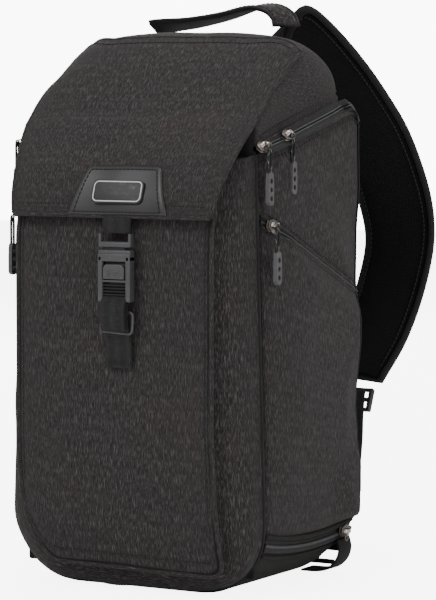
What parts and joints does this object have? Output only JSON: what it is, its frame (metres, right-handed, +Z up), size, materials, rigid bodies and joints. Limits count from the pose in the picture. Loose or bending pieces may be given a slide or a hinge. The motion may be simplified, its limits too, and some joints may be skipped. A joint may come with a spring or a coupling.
{
  "type": "camera sling bag",
  "caption": "Upright padded sling bag with a buckled front flap, zipped side doors and pockets, a grab handle and a padded shoulder strap.",
  "frame": {"origin": "middle of the flat rest face under the base, on the ground", "axes": "+Z up along the bag's height, -Y out of the front, +X to the right as the front is seen"},
  "size_m": [0.2216, 0.3162, 0.4134],
  "materials": {
    "heather_fabric": "woven heather, matt",
    "black_nylon": "fine weave, matt",
    "spacer_mesh": "open knit mesh, matt",
    "divider_foam": "brushed loop knit over foam",
    "webbing": "ribbed webbing, matt",
    "pull_cord": "braided with light flecks",
    "moulded_plastic": "satin",
    "leatherette": "satin, fine grain",
    "antique_nickel": "darkened nickel plate",
    "grip_rubber": "matt"
  },
  "bodies": {
    "root": {"top_hood": "heather_fabric", "crown_cover": "heather_fabric", "base_panel": "heather_fabric", "front_wall": "black_nylon", "back_panel": "spacer_mesh", "divider_lower": "divider_foam", "divider_upper": "divider_foam", "front_pocket": "heather_fabric", "buckle_body": "moulded_plastic", "lower_webbing": "webbing", "keeper_ring": "moulded_plastic", "sewn_tab": "webbing", "sling_strap": "spacer_mesh", "strap_adjuster": "moulded_plastic", "strap_webbing": "webbing", "strap_anchor": "black_nylon", "base_loop": "webbing", "side_band_right": "heather_fabric", "base_zip_right": "black_nylon", "side_band_left": "heather_fabric", "base_zip_left": "black_nylon"},
    "flap": {"front_flap": "heather_fabric", "flap_patch": "leatherette", "badge_plate": "moulded_plastic", "flap_webbing": "webbing", "buckle_tongue": "moulded_plastic"},
    "button": {"buckle_button": "moulded_plastic"},
    "handle": {"grab_handle": "webbing"},
    "door_right": {"side_door_right": "heather_fabric", "door_zip_right": "black_nylon", "side_pocket_right": "heather_fabric", "pocket_zip_right": "black_nylon"},
    "zip_right_a": {"slider_right_a": "antique_nickel"},
    "pull_right_a": {"cord_right_a": "pull_cord", "grip_right_a": "grip_rubber"},
    "zip_right_b": {"slider_right_b": "antique_nickel"},
    "pull_right_b": {"cord_right_b": "pull_cord", "grip_right_b": "grip_rubber"},
    "zip_right_c": {"slider_right_c": "antique_nickel"},
    "pull_right_c": {"cord_right_c": "pull_cord", "grip_right_c": "grip_rubber"},
    "zip_right_d": {"slider_right_d": "antique_nickel"},
    "door_left": {"side_door_left": "heather_fabric", "door_zip_left": "black_nylon", "side_pocket_left": "heather_fabric", "pocket_zip_left": "black_nylon"},
    "zip_left_a": {"slider_left_a": "antique_nickel"},
    "pull_left_a": {"cord_left_a": "pull_cord", "grip_left_a": "grip_rubber"},
    "zip_left_b": {"slider_left_b": "antique_nickel"},
    "pull_left_b": {"cord_left_b": "pull_cord", "grip_left_b": "grip_rubber"},
    "zip_left_c": {"slider_left_c": "antique_nickel"},
    "pull_left_c": {"cord_left_c": "pull_cord", "grip_left_c": "grip_rubber"},
    "zip_left_d": {"slider_left_d": "antique_nickel"}
  },
  "joints": [
    {"name": "flap_fold", "type": "hinge", "parent": "root", "child": "flap", "pos_m": [0, -0.0502, 0.331], "axis": [-1, 0, 0], "range_deg": [0, 165]},
    {"name": "button_press", "type": "slide", "parent": "root", "child": "button", "axis": [0, 1, 0], "range_m": [0, 0.0022], "stiffness_N_per_m": 600},
    {"name": "handle_fold", "type": "hinge", "parent": "root", "child": "handle", "pos_m": [0, 0.066, 0.3925], "axis": [1, 0, 0], "range_deg": [-6, 22], "stiffness_Nm_per_rad": 0.05},
    {"name": "door_right_swing", "type": "hinge", "parent": "root", "child": "door_right", "pos_m": [0.1005, -0.047, 0.18], "axis": [0, 0, -1], "range_deg": [0, 95]},
    {"name": "zip_right_a_slide", "type": "slide", "parent": "door_right", "child": "zip_right_a", "axis": [0, 0.9706, 0.2405], "range_m": [0, 0.01]},
    {"name": "pull_right_a_swing", "type": "hinge", "parent": "zip_right_a", "child": "pull_right_a", "pos_m": [0.1035, -0.041, 0.31273], "axis": [0, -1, 0], "range_deg": [0, 100]},
    {"name": "zip_right_b_slide", "type": "slide", "parent": "door_right", "child": "zip_right_b", "axis": [0, 0.9706, 0.2405], "range_m": [0, 0.08]},
    {"name": "pull_right_b_swing", "type": "hinge", "parent": "zip_right_b", "child": "pull_right_b", "pos_m": [0.1035, -0.014, 0.31942], "axis": [0, -1, 0], "range_deg": [0, 100]},
    {"name": "zip_right_c_slide", "type": "slide", "parent": "door_right", "child": "zip_right_c", "axis": [0, 0.9217, -0.388], "range_m": [0, 0.112]},
    {"name": "pull_right_c_swing", "type": "hinge", "parent": "zip_right_c", "child": "pull_right_c", "pos_m": [0.109, -0.042, 0.25863], "axis": [0, -1, 0], "range_deg": [0, 100]},
    {"name": "zip_right_d_slide", "type": "slide", "parent": "root", "child": "zip_right_d", "axis": [0, -1, 0], "range_m": [0, 0.1]},
    {"name": "door_left_swing", "type": "hinge", "parent": "root", "child": "door_left", "pos_m": [-0.1005, -0.047, 0.18], "axis": [0, 0, 1], "range_deg": [0, 95]},
    {"name": "zip_left_a_slide", "type": "slide", "parent": "door_left", "child": "zip_left_a", "axis": [0, 0.9706, 0.2405], "range_m": [0, 0.01]},
    {"name": "pull_left_a_swing", "type": "hinge", "parent": "zip_left_a", "child": "pull_left_a", "pos_m": [-0.1035, -0.041, 0.31273], "axis": [0, 1, 0], "range_deg": [0, 100]},
    {"name": "zip_left_b_slide", "type": "slide", "parent": "door_left", "child": "zip_left_b", "axis": [0, 0.9706, 0.2405], "range_m": [0, 0.08]},
    {"name": "pull_left_b_swing", "type": "hinge", "parent": "zip_left_b", "child": "pull_left_b", "pos_m": [-0.1035, -0.014, 0.31942], "axis": [0, 1, 0], "range_deg": [0, 100]},
    {"name": "zip_left_c_slide", "type": "slide", "parent": "door_left", "child": "zip_left_c", "axis": [0, 0.9217, -0.388], "range_m": [0, 0.112]},
    {"name": "pull_left_c_swing", "type": "hinge", "parent": "zip_left_c", "child": "pull_left_c", "pos_m": [-0.109, -0.042, 0.25863], "axis": [0, 1, 0], "range_deg": [0, 100]},
    {"name": "zip_left_d_slide", "type": "slide", "parent": "root", "child": "zip_left_d", "axis": [0, -1, 0], "range_m": [0, 0.1]}
  ]
}
